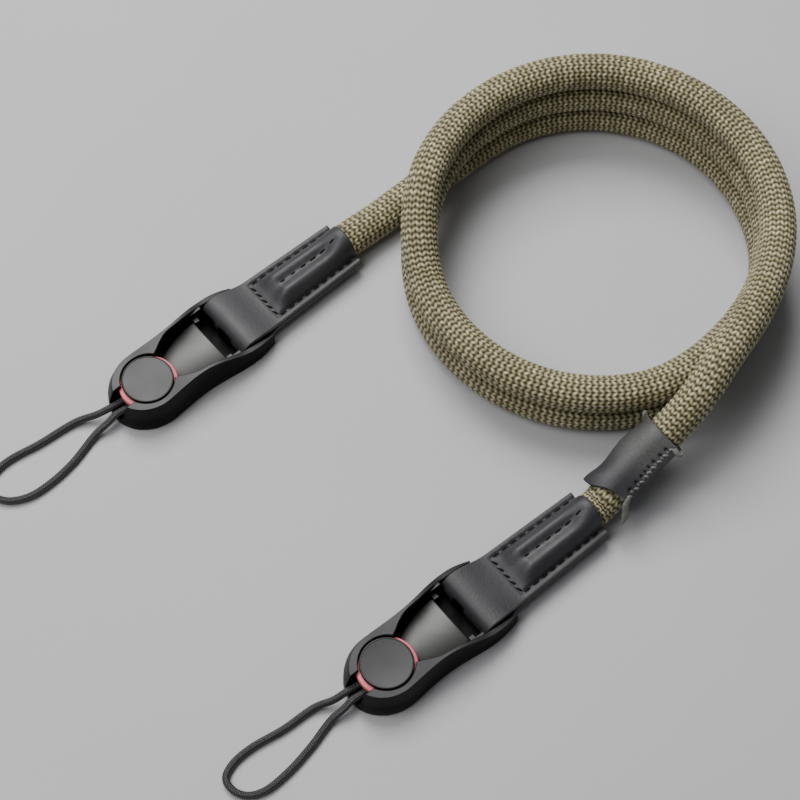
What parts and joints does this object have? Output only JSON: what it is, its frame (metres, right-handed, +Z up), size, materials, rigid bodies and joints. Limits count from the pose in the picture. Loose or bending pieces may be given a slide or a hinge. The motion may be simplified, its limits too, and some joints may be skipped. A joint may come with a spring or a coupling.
{
  "type": "camera neck strap",
  "caption": "Braided rope camera neck strap lying in a coil, with sewn leather tabs and quick-release connectors that hold discs on thin cord loops.",
  "frame": {"origin": "on the table, in the middle of the ground that the two connectors and their leather tabs cover", "axes": "+Z up from the table, +Y away from the viewer of the picture, +X to the viewer's right"},
  "size_m": [0.2222, 0.2129, 0.0314],
  "materials": {
    "rope_braid": "olive braid with cream flecks",
    "leather": "satin black, sewn",
    "black_plastic": "satin",
    "steel": "brushed spring steel",
    "red_plastic": "satin",
    "cord_braid": "fine black braid"
  },
  "bodies": {
    "root": {"rope": "rope_braid", "keeper": "leather", "near_housing": "black_plastic", "near_spring_plate": "steel", "near_anchor_cap": "black_plastic", "near_anchor_flange": "red_plastic", "near_leather_tab": "leather", "near_anchor_loop": "cord_braid", "far_housing": "black_plastic", "far_spring_plate": "steel", "far_anchor_cap": "black_plastic", "far_anchor_flange": "red_plastic", "far_leather_tab": "leather", "far_anchor_loop": "cord_braid"}
  },
  "joints": []
}
